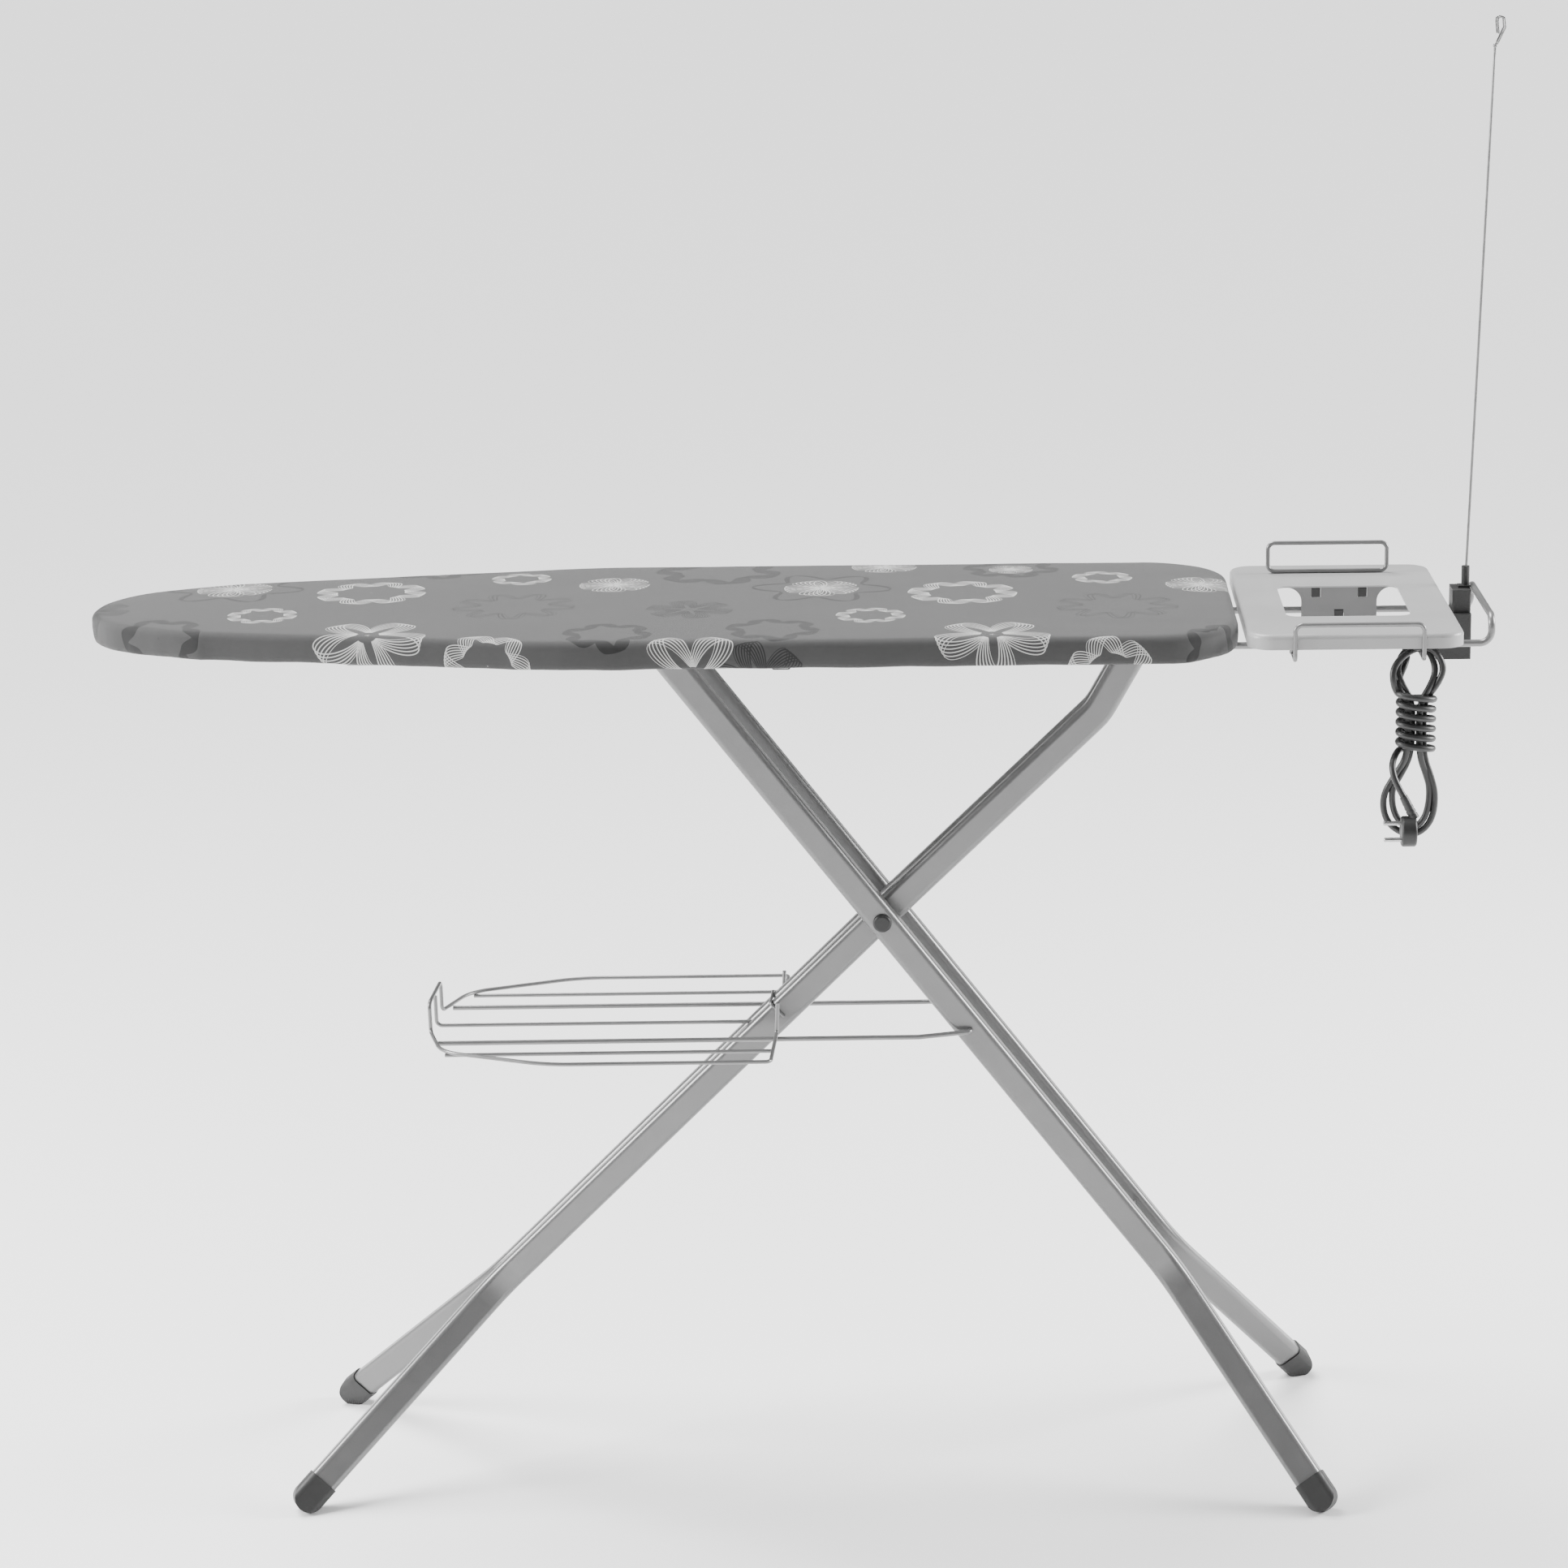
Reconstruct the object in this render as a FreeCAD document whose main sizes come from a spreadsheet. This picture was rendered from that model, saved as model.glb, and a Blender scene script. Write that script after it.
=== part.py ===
import FreeCAD, Part
import math
import os
from FreeCAD import Placement, Rotation, Vector

doc = FreeCAD.newDocument("IroningBoard")

# ---------------------------------------------------------------- driving dimensions, millimetres
# X runs from the nose to the iron rest, Y from the near long side to the far one, Z up from the floor.
# Every "At" size is a distance along X from the nose; every "Level" is a height above the floor.
DIMENSIONS = {
    "NoseX": -712, "BoardLength": 1147, "BoardHalfWidth": 190, "NoseHalfWidth": 64, "TaperLength": 480,
    "ShoulderAt": 112, "ShoulderHalfWidth": 120, "ShoulderRadius": 150, "NoseRadius": 98, "TaperRadius": 500, "TailRadius": 88,
    "BoardLevel": 932.5, "CoverThickness": 1.5, "PaddingThickness": 7.0, "PlateThickness": 1.2,
    "SkirtDepth": 29.0, "RimDepth": 16.0,
    "HingeAt": 1057, "HingeLevel": 897, "HingePinRadius": 4,
    "PivotAt": 787, "PivotLevel": 603, "PivotPinRadius": 5,
    "ElbowAt": 1010, "ElbowLevel": 815, "ElbowRadius": 60,
    "FootBAt": 184, "FootBSide": 132, "FootAAt": 1231, "FootASide": 168.5, "FootLevel": 16.2,
    "SplayBAt": 372, "SplayAAt": 1083, "SplayRadius": 110,
    "TubeDepth": 30, "TubeCorner": 6, "TubeWall": 1.2, "TubeOverrun": 10,
    "TubeBWidth": 18, "TubeBSide": 12, "TubeAWidth": 20, "TubeASide": 36,
    "CapWall": 1.6, "CapLength": 20, "FitGap": 0.05, "RunGap": 0.3,
    "RailStart": 262, "RailLength": 340, "RailSide": 48, "RailWidth": 16, "RailDepth": 40, "RailWall": 1.5,
    "BushRadius": 9, "BushWidth": 10, "BushSide": 50,
    "ShelfHingeReach": 146, "ShelfDrop": 3, "ShelfArmSide": 58, "ShelfBarSide": 97, "ShelfRimSide": 142,
    "ShelfWireRadius": 2.0, "ShelfArmRadius": 2.5, "ShelfLeftAt": 319, "ShelfRightAt": 676,
    "ShelfArmBendAt": 822, "ShelfHookHeight": 33, "ShelfStopHeight": 32, "ShelfStopSide": 36,
    "TrayStart": 1153, "TrayLength": 211, "TrayHalfWidth": 176, "TrayLevel": 928, "TrayDepth": 15,
    "TrayWall": 1.5, "TrayCorner": 24, "TrayEdgeRound": 5,
    "OpeningStart": 1196, "OpeningLength": 124, "OpeningNear": -90, "OpeningFar": 60, "OpeningCorner": 12,
    "FlapStart": 1222, "FlapLength": 78, "FlapDepth": 34, "FlapHole": 10,
    "GuardWireRadius": 2.2, "GuardLength": 125, "GuardFarAt": 1192, "GuardFarSide": 130, "GuardFarHeight": 30,
    "GuardNearAt": 1198, "GuardNearRise": 10, "GuardNearLow": 903, "GuardNearReturn": 34,
    "FrameRodRadius": 3.6, "FrameSide": 85, "FrameLevel": 898, "FrameStart": 905,
    "FrameEndAt": 1400.5, "FrameRise": 27,
    "SocketAt": 1358, "SocketLength": 38, "SocketNear": 38, "SocketWidth": 42, "SocketLevel": 854,
    "SocketHeight": 47, "SocketStep": 24, "SocketStepInset": 19,
    "OutletRadius": 18, "OutletDepth": 11, "OutletFloor": 5,
    "GuideAt": 1392, "GuideSide": 64, "GuideBase": 925, "GuideHolderHeight": 22, "GuideLength": 545,
    "GuideRadius": 1.3, "GuideLean": 2.0, "GuideHolderRadius": 4.2,
    "CordRadius": 3.25, "HankNear": -192, "HankThickness": 32,
    "PlugRadius": 15, "PlugDepth": 15, "PlugPinRadius": 2.2, "PlugPinLength": 17,
    "LeverAt": 700, "LeverLength": 96, "LeverWidth": 14, "LeverThickness": 2, "LeverLevel": 899,
}
sheet = doc.addObject("Spreadsheet::Sheet", "Sizes")
for row, (alias, value) in enumerate(DIMENSIONS.items(), start=1):
    sheet.set(f"A{row}", alias)
    sheet.set(f"B{row}", str(value))
    sheet.setAlias(f"B{row}", alias)
doc.recompute()

UP = Vector(0, 0, 1)
ACROSS = Vector(0, 1, 0)
ALONG = Vector(1, 0, 0)
SIDES = {"near": -1, "far": 1}
subparts = []


def size(alias):
    """The value of one cell of the sheet."""
    return float(sheet.get(alias))


def at(distance_from_nose, side, level):
    """A point given by its distance from the nose, its side and its height."""
    return Vector(size("NoseX") + distance_from_nose, side, level)


# ---------------------------------------------------------------- ways of making a piece

def keep(piece, label):
    """Name a finished sub-part and list it for writing."""
    piece.Label = label
    subparts.append(piece)
    return piece


def shaped(label, shape):
    """A sub-part whose shape is computed with Part's own functions."""
    piece = doc.addObject("Part::Feature", label)
    piece.Shape = shape
    piece.Placement = Placement()
    return keep(piece, label)


def joined(label, shapes):
    """Several small solids that make one sub-part."""
    return shaped(label, Part.makeCompound(shapes))


def corner_arc(before, corner, after, radius):
    """The arc that rounds one corner of a path, with its two tangent points."""
    back = (before - corner).normalize()
    ahead = (after - corner).normalize()
    half = back.getAngle(ahead) / 2
    reach = radius / math.tan(half)
    start = corner + back * reach
    end = corner + ahead * reach
    bisector = (back + ahead).normalize()
    middle = corner + bisector * (radius / math.sin(half) - radius)
    return start, middle, end


def path_geometry(points, radii, closed=False):
    """Lines and tangent arcs along a path; radii holds one value for each rounded corner."""
    count = len(points)
    rounded = range(count) if closed else range(1, count - 1)
    arcs = {}
    for number, index in enumerate(rounded):
        neighbours = points[index - 1], points[index], points[(index + 1) % count]
        arcs[index] = corner_arc(*neighbours, radii[number])
    geometry = []
    here = arcs[0][2] if closed else points[0]
    for step in range(1, count + 1 if closed else count):
        index = step % count
        there = arcs[index][0] if index in arcs else points[index]
        if (there - here).Length > 1e-6:
            geometry.append(Part.LineSegment(here, there))
        if index in arcs:
            geometry.append(Part.Arc(*arcs[index]))
            here = arcs[index][2]
    return geometry


def path_wire(points, radii):
    """An open wire of straight runs and tangent arcs."""
    return Part.Wire([piece.toShape() for piece in path_geometry(points, radii)])


def round_section(centre, direction, radius):
    """A circle across the start of a path."""
    return Part.Wire(Part.Circle(centre, direction, radius).toShape())


def rod_shape(points, radii, radius):
    """Round bar bent along a path."""
    spine = path_wire(points, radii)
    section = round_section(points[0], points[1] - points[0], radius)
    return spine.makePipeShell([section], True, False)


def cylinder(centre, direction, radius, length):
    """A cylinder that starts at a point and runs along a direction."""
    return Part.makeCylinder(radius, length, centre, direction)


def ring(centre, direction, inner, outer, length):
    """A plain sleeve or washer."""
    return cylinder(centre, direction, outer, length).cut(cylinder(centre, direction, inner, length))


def new_body(label):
    """An empty PartDesign body that will be one sub-part."""
    return keep(doc.addObject("PartDesign::Body", label), label)


def sketch_on(body, plane, geometry, level=None):
    """A sketch on one of the body's own planes, lifted along the plane's normal by a sheet expression."""
    sketch = body.newObject("Sketcher::SketchObject", body.Name + "Sketch")
    support = [item for item in body.Origin.OriginFeatures if item.Role == plane][0]
    sketch.AttachmentSupport = [(support, "")]
    sketch.MapMode = "FlatFace"
    sketch.addGeometry(geometry, False)
    if level is not None:
        sketch.setExpression("AttachmentOffset.Base.z", level)
    return sketch


def pad(body, sketch, length, reverse=False):
    """A pad whose length is bound to the sheet."""
    feature = body.newObject("PartDesign::Pad", body.Name + "Pad")
    feature.Profile = sketch
    feature.Reversed = reverse
    feature.setExpression("Length", length)
    return feature


def pocket(body, sketch, length, reverse=False):
    """A pocket whose depth is bound to the sheet."""
    feature = body.newObject("PartDesign::Pocket", body.Name + "Pocket")
    feature.Profile = sketch
    feature.Reversed = reverse
    feature.setExpression("Length", length)
    return feature


def rectangle(low_x, low_y, high_x, high_y, corner):
    """A rounded rectangle for a sketch."""
    corners = [Vector(low_x, low_y), Vector(high_x, low_y), Vector(high_x, high_y), Vector(low_x, high_y)]
    return path_geometry(corners, [corner] * 4, closed=True)


# ---------------------------------------------------------------- board: plate, rim, padding, cover

def board_outline(inset):
    """The board's plan, moved inwards: round nose, shoulders, tapering sides, square tail with round corners."""
    nose = size("NoseX") + inset
    taper = size("NoseX") + size("TaperLength")
    tail = size("NoseX") + size("BoardLength") - inset
    nose_half = size("NoseHalfWidth") - inset
    half = size("BoardHalfWidth") - inset
    shoulder = Vector(size("NoseX") + size("ShoulderAt"), inset - size("ShoulderHalfWidth"))
    corners = [Vector(nose, -nose_half), shoulder, Vector(taper, -half), Vector(tail, -half)]
    corners += [Vector(corner.x, -corner.y) for corner in reversed(corners)]
    nose_radius = size("NoseRadius") - inset
    radii = [nose_radius, size("ShoulderRadius"), size("TaperRadius"), size("TailRadius") - inset]
    return path_geometry(corners, radii + radii[::-1], closed=True)


def make_cover():
    """Fabric cover: a closed skin over the padding with a skirt round the edge."""
    body = new_body("cover")
    bottom = "Sizes.BoardLevel - Sizes.SkirtDepth"
    pad(body, sketch_on(body, "XY_Plane", board_outline(0), bottom), "Sizes.SkirtDepth")
    inner = sketch_on(body, "XY_Plane", board_outline(size("CoverThickness")), bottom)
    pocket(body, inner, "Sizes.SkirtDepth - Sizes.CoverThickness", reverse=True)


def make_padding():
    """Felt padding between the steel plate and the cover."""
    body = new_body("padding")
    level = "Sizes.BoardLevel - Sizes.CoverThickness - Sizes.PaddingThickness"
    pad(body, sketch_on(body, "XY_Plane", board_outline(2.5), level), "Sizes.PaddingThickness")


def make_plate():
    """Steel ironing surface with rows of steam holes."""
    body = new_body("board_plate")
    level = "Sizes.BoardLevel - Sizes.CoverThickness - Sizes.PaddingThickness - Sizes.PlateThickness"
    pad(body, sketch_on(body, "XY_Plane", board_outline(6), level), "Sizes.PlateThickness")
    holes = []
    for column in range(13):
        for row in (-2, -1, 1, 2):
            centre = Vector(size("NoseX") + 150 + column * 72, row * 52 if abs(row) == 2 else row * 22)
            holes.append(Part.Circle(centre, UP, 7))
    pocket(body, sketch_on(body, "XY_Plane", holes, level), "Sizes.PlateThickness", reverse=True)


def make_rim():
    """Steel band that stiffens the edge of the plate."""
    body = new_body("board_rim")
    level = "Sizes.BoardLevel - Sizes.CoverThickness - Sizes.PaddingThickness - Sizes.RimDepth"
    pad(body, sketch_on(body, "XY_Plane", board_outline(4), level), "Sizes.RimDepth")
    pocket(body, sketch_on(body, "XY_Plane", board_outline(6), level), "Sizes.RimDepth", reverse=True)


make_cover()
make_padding()
make_plate()
make_rim()

plate_bottom = size("BoardLevel") - size("CoverThickness") - size("PaddingThickness") - size("PlateThickness")


# ---------------------------------------------------------------- board: rails, rack, hinge, lever bracket

def make_rails():
    """Two C-channels, open inwards, in which leg A's bushes slide. They hang under the plate."""
    wall = size("RailWall")
    for name, side in SIDES.items():
        low = plate_bottom - size("RailDepth")
        inner = size("RailSide")
        start = at(size("RailStart"), min(side * inner, side * (inner + size("RailWidth"))), low)
        outer = Part.makeBox(size("RailLength"), size("RailWidth"), size("RailDepth"), start)
        shift = Vector(0, 0 if side > 0 else wall, wall)
        hollow = Part.makeBox(size("RailLength"), size("RailWidth") - wall, size("RailDepth") - 2 * wall,
                              start + shift)
        shaped(f"slide_rail_{name}", outer.cut(hollow))


def make_rack():
    """Toothed strip above the slide axle, one notch for each height setting."""
    depth = 11
    strip = Part.makeBox(300, 4, depth, at(300, -2, plate_bottom - depth))
    notch_pitch = 34
    for number in range(8):
        notch = cylinder(at(322 + number * notch_pitch, -2, plate_bottom - depth), ACROSS, 6, 4)
        strip = strip.cut(notch)
    shaped("height_rack", strip)


def make_tail_hinge():
    """Two plates under the tail, the pin through leg B and the washers beside it."""
    pin_at = at(size("HingeAt"), 0, size("HingeLevel"))
    pin_radius = size("HingePinRadius")
    plate_inside = 26
    plate_thickness = 3
    plates = []
    washers = []
    for side in SIDES.values():
        corners = [(-24, 0), (24, 0), (24, -12), (13, -40), (-13, -40), (-24, -12)]
        points = [at(size("HingeAt") + x, 0, plate_bottom + z) for x, z in corners]
        outline = Part.Wire([edge.toShape() for edge in path_geometry(points, [2, 2, 6, 10, 10, 6], closed=True)])
        face = Part.Face(outline)
        plate = face.extrude(ACROSS * plate_thickness)
        plate.translate(ACROSS * (plate_inside if side > 0 else -plate_inside - plate_thickness))
        plates.append(plate.cut(cylinder(pin_at - ACROSS * 40, ACROSS, pin_radius, 80)))
        washer_start = pin_at + ACROSS * (21 + size("RunGap") if side > 0 else -plate_inside)
        washer_length = plate_inside - 21 - size("RunGap")
        washers.append(ring(washer_start, ACROSS, pin_radius, 9, washer_length))
    joined("hinge_plates", plates)
    joined("hinge_washers", washers)
    half_length = plate_inside + plate_thickness + 3
    shaped("hinge_pin", cylinder(pin_at - ACROSS * half_length, ACROSS, pin_radius, 2 * half_length))


def make_lever():
    """Height-lock lever under the near edge: bracket on the plate, sprung strap and grip."""
    lever_at = at(size("LeverAt"), -70, size("LeverLevel"))
    pin_radius = 2.5
    length = size("LeverLength")
    width = size("LeverWidth")
    thickness = size("LeverThickness")
    ear_gap = width + 2 * size("RunGap")
    bracket = Part.makeBox(ear_gap + 4, 14, 2, lever_at + Vector(-ear_gap / 2 - 2, -7, plate_bottom
                                                                 - size("LeverLevel") - 2))
    for side in (-1, 1):
        ear_start = side * (ear_gap / 2 + 1) - 1
        ear = Part.makeBox(2, 14, plate_bottom - size("LeverLevel") + 5, lever_at + Vector(ear_start, -7, -5))
        bracket = bracket.fuse(ear)
    pin_half = ear_gap / 2 + 3
    pin = cylinder(lever_at - ALONG * pin_half, ALONG, pin_radius, 2 * pin_half)
    shaped("lever_bracket", bracket.fuse(pin).removeSplitter())
    strap = Part.makeBox(width, length, thickness, lever_at + Vector(-width / 2, -length, -thickness / 2))
    barrel = cylinder(lever_at - ALONG * (width / 2), ALONG, pin_radius + 1.8, width)
    hole = cylinder(lever_at - ALONG * width, ALONG, pin_radius + size("FitGap"), 2 * width)
    shaped("lock_lever", strap.fuse(barrel).cut(hole))
    grip_start = lever_at + Vector(-width / 2 - 2, -length + 2, -thickness / 2 - 2)
    grip = Part.makeBox(width + 4, 26, thickness + 4, grip_start)
    grip = grip.makeFillet(1.8, grip.Edges)
    shaped("lever_grip", grip.cut(strap))


make_rails()
make_rack()
make_tail_hinge()
make_lever()


# ---------------------------------------------------------------- legs

def tube_solid(points, radii, width, grow):
    """Rounded rectangular bar along a leg's path. Its flat faces stay upright, and grow widens it all round."""
    depth = size("TubeDepth") + 2 * grow
    across = width + 2 * grow
    corner = max(size("TubeCorner") + grow, 1)
    direction = (points[1] - points[0]).normalize()
    normal = ACROSS.cross(direction).normalize()
    section = []
    for deep, wide in ((-1, -1), (1, -1), (1, 1), (-1, 1)):
        section.append(points[0] + normal * (deep * depth / 2) + ACROSS * (wide * across / 2))
    outline = Part.Wire([edge.toShape() for edge in path_geometry(section, [corner] * 4, closed=True)])
    return path_wire(points, radii).makePipeShell([outline], True, False)


def overrun(points):
    """Move the first point of a leg's path out past its pin."""
    outwards = (points[0] - points[1]).normalize()
    return [points[0] + outwards * size("TubeOverrun")] + points[1:]


def leg_points(name, side):
    """The route of one leg tube, from its top pin to the centre of its foot."""
    if name == "leg_b":
        lane = side * size("TubeBSide")
        foot = at(size("FootBAt"), side * size("FootBSide"), size("FootLevel"))
        top = at(size("HingeAt"), lane, size("HingeLevel"))
        elbow = at(size("ElbowAt"), lane, size("ElbowLevel"))
        slope = (size("PivotLevel") - size("FootLevel")) / (size("PivotAt") - size("FootBAt"))
        splay_at = size("SplayBAt")
        splay = at(splay_at, lane, size("PivotLevel") - slope * (size("PivotAt") - splay_at))
        return [top, elbow, at(size("PivotAt"), lane, size("PivotLevel")), splay, foot]
    lane = side * size("TubeASide")
    foot = at(size("FootAAt"), side * size("FootASide"), size("FootLevel"))
    slope = (size("PivotLevel") - size("FootLevel")) / (size("FootAAt") - size("PivotAt"))
    rise = size("HingeLevel") - size("PivotLevel")
    top = at(size("PivotAt") - rise / slope, lane, size("HingeLevel"))
    splay_at = size("SplayAAt")
    splay = at(splay_at, lane, size("PivotLevel") - slope * (splay_at - size("PivotAt")))
    return [top, splay, foot]


def leg_radii(name):
    """Bend radii of one leg, in order from the top."""
    if name == "leg_b":
        return [size("ElbowRadius"), 900, size("SplayRadius")]
    return [size("SplayRadius")]


def foot_cap(points, radii, width, outer):
    """Plastic shoe on the end of a leg tube: a sleeve with a rounded sole, cut flat where it stands."""
    wall = size("CapWall")
    toe = points[-1]
    back = (points[-2] - toe).normalize()
    normal = ACROSS.cross(back).normalize()
    sideways = back.cross(normal).normalize()
    depth = size("TubeDepth") + 2 * wall
    across = width + 2 * wall
    start = toe + back * size("CapLength")
    corners = []
    for deep, wide in ((-1, -1), (1, -1), (1, 1), (-1, 1)):
        corners.append(start + normal * (deep * depth / 2) + sideways * (wide * across / 2))
    section = Part.Wire([edge.toShape() for edge in path_geometry(corners, [size("TubeCorner") + wall] * 4,
                                                                  closed=True)])
    sleeve = Part.Face(section).extrude(back * -(size("CapLength") + depth / 2))
    sole_start = toe - sideways * (across / 2)
    sole = cylinder(sole_start, sideways, depth / 2, across)
    reach = Part.makeBox(depth, across, size("CapLength") + 1)
    frame = FreeCAD.Matrix()
    frame.A11, frame.A21, frame.A31 = normal.x, normal.y, normal.z
    frame.A12, frame.A22, frame.A32 = sideways.x, sideways.y, sideways.z
    frame.A13, frame.A23, frame.A33 = back.x, back.y, back.z
    corner = toe - normal * (depth / 2) - sideways * (across / 2)
    frame.A14, frame.A24, frame.A34 = corner.x, corner.y, corner.z
    reach = reach.transformGeometry(frame)
    cap = sleeve.common(sole.fuse(reach))
    floor = Part.makeBox(400, 400, 40, Vector(toe.x - 200, toe.y - 200, -40))
    return cap.cut(floor).cut(outer)


def make_leg(name, width, pins, extra_holes=()):
    """Both tubes of a leg, hollow, with the holes for its pins, and their foot caps."""
    for side_name, side in SIDES.items():
        points = leg_points(name, side)
        points[0] = overrun(points)[0]
        radii = leg_radii(name)
        outer = tube_solid(points, radii, width, 0)
        tube = outer.cut(tube_solid(points, radii, width, -size("TubeWall")))
        for centre, radius in pins:
            tube = tube.cut(cylinder(centre - ACROSS * 100, ACROSS, radius, 200))
        for centre, radius in extra_holes:
            tube = tube.cut(cylinder(centre + ACROSS * (side * 40), ACROSS * side, radius, 12))
        shaped(f"{name}_{side_name}", tube)
        shaped(f"{name}_cap_{side_name}", foot_cap(points, radii, width, outer))


pivot = at(size("PivotAt"), 0, size("PivotLevel"))
hinge = at(size("HingeAt"), 0, size("HingeLevel"))
leg_a_route = leg_points("leg_a", 1)
slide_axis = Vector(leg_a_route[0].x, 0, leg_a_route[0].z)
leg_a_down = Vector(leg_a_route[1].x - slide_axis.x, 0, leg_a_route[1].z - slide_axis.z).normalize()
shelf_hinge = pivot + leg_a_down * size("ShelfHingeReach")
pin_hole = size("PivotPinRadius") + size("FitGap")

make_leg("leg_b", size("TubeBWidth"), [(pivot, pin_hole), (hinge, size("HingePinRadius") + size("FitGap"))])
make_leg("leg_a", size("TubeAWidth"), [(pivot, size("PivotPinRadius")), (slide_axis, size("PivotPinRadius"))],
         [(shelf_hinge, size("ShelfArmRadius") + size("FitGap"))])


def make_leg_b_fittings():
    """Sleeves that hold leg B's two tubes apart, and the wire stirrup the shelf rests by."""
    gap = size("TubeBSide") - size("TubeBWidth") / 2
    spacer_route = leg_points("leg_b", 1)
    spacer_at = Vector(spacer_route[3].x, 0, spacer_route[3].z) + Vector(30, 0, 29)
    shaped("leg_b_hinge_sleeve", ring(hinge - ACROSS * gap, ACROSS, size("HingePinRadius") + size("FitGap"), 10,
                                      2 * gap))
    shaped("leg_b_pivot_sleeve", ring(pivot - ACROSS * gap, ACROSS, pin_hole, 11, 2 * gap))
    shaped("leg_b_spacer", cylinder(spacer_at - ACROSS * gap, ACROSS, 9, 2 * gap))
    wire = 1.5
    outside = size("TubeBSide") + size("TubeBWidth") / 2 + wire
    down = (Vector(spacer_route[3].x, 0, spacer_route[3].z) - pivot).normalize()
    upright = Vector(-down.z, 0, down.x) * -1
    if upright.z < 0:
        upright = upright * -1
    crossing = pivot + down * 150 + upright * (size("TubeDepth") / 2 + wire)
    lower = crossing - upright * 20
    points = [lower - ACROSS * outside, crossing - ACROSS * outside]
    points += [crossing + ACROSS * outside, lower + ACROSS * outside]
    shaped("shelf_stirrup", rod_shape(points, [4, 4], wire))


def make_leg_a_fittings():
    """Centre pin with washers and caps, the slide axle with its bushes, and a small parking hook."""
    outside = size("TubeASide") + size("TubeAWidth") / 2
    inside = size("TubeASide") - size("TubeAWidth") / 2
    pin_radius = size("PivotPinRadius")
    washers = []
    caps = []
    bushes = []
    b_face = size("TubeBSide") + size("TubeBWidth") / 2 + size("RunGap")
    shaped("pivot_pin", cylinder(pivot - ACROSS * outside, ACROSS, pin_radius, 2 * outside))
    bush_side = size("BushSide")
    axle_half = bush_side + size("BushWidth")
    shaped("slide_axle", cylinder(slide_axis - ACROSS * axle_half, ACROSS, pin_radius, 2 * axle_half))
    for side in SIDES.values():
        washer_start = pivot + ACROSS * (b_face if side > 0 else -inside)
        washers.append(ring(washer_start, ACROSS, pin_radius, 12, inside - b_face))
        cap = cylinder(pivot + ACROSS * (side * outside), ACROSS * side, 9.5, 4.5)
        rim_edges = [edge for edge in cap.Edges if abs(edge.BoundBox.Center.y) > outside + 4
                     and edge.BoundBox.YLength < 0.01]
        caps.append(cap.makeFillet(3, rim_edges))
        bush_start = slide_axis + ACROSS * (bush_side if side > 0 else -bush_side - size("BushWidth"))
        bushes.append(ring(bush_start, ACROSS, pin_radius, size("BushRadius"), size("BushWidth")))
    joined("pivot_washers", washers)
    joined("pivot_caps", caps)
    joined("slide_bushes", bushes)
    hook_at = pivot + leg_a_down * 428 + ACROSS * inside
    points = [hook_at, hook_at - ACROSS * 7, hook_at - ACROSS * 7 + UP * 9]
    shaped("parking_hook", rod_shape(points, [3], 1.5))


make_leg_b_fittings()
make_leg_a_fittings()


# ---------------------------------------------------------------- wire shelf

def make_shelf():
    """Shelf of bent and welded wire, hooked into leg A and carried by leg B."""
    plane = shelf_hinge.z - size("ShelfDrop")
    wire = size("ShelfWireRadius")
    arm = size("ShelfArmRadius")
    rim_plane = plane + wire + arm
    left = size("ShelfLeftAt")
    right = size("ShelfRightAt")
    hinge_at = shelf_hinge.x - size("NoseX")
    stop_top = rim_plane + size("ShelfStopHeight")
    side_bars = []
    for name, side in SIDES.items():
        arm_side = side * size("ShelfArmSide")
        stub_side = side * (size("TubeASide") + size("TubeAWidth") / 2)
        points = [at(left + 8, arm_side, plane), at(size("ShelfArmBendAt"), arm_side, plane)]
        points += [at(hinge_at, stub_side + side * 6, shelf_hinge.z), at(hinge_at, stub_side - side * 1, shelf_hinge.z)]
        shaped(f"shelf_arm_{name}", rod_shape(points, [20, 3], arm))
        rim_side = side * size("ShelfRimSide")
        hook_side = side * (size("ShelfArmSide") - 4)
        stop_side = side * size("ShelfStopSide")
        points = [at(right + 2, hook_side, rim_plane + size("ShelfHookHeight")), at(right, hook_side, rim_plane)]
        points += [at(right, rim_side, rim_plane), at(left + 132, rim_side, rim_plane)]
        points += [at(left + 20, side * 98, rim_plane), at(left, stop_side, rim_plane)]
        points += [at(left, stop_side, stop_top), at(left, 0, stop_top)]
        shaped(f"shelf_rim_{name}", rod_shape(points, [5, 6, 130, 45, 6, 7], wire))
        bar_side = side * size("ShelfBarSide")
        points = [at(left + 24, bar_side, plane + 0.5), at(right + 1, bar_side, plane + 0.5)]
        side_bars.append(cylinder(points[0], ALONG, wire, (points[1] - points[0]).Length))
    joined("shelf_side_bars", side_bars)
    points = [at(right, 0, plane), at(left, 0, plane), at(left, 0, stop_top - 2 * wire)]
    shaped("shelf_bar_middle", rod_shape(points, [6], wire))


make_shelf()


# ---------------------------------------------------------------- iron rest

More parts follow.
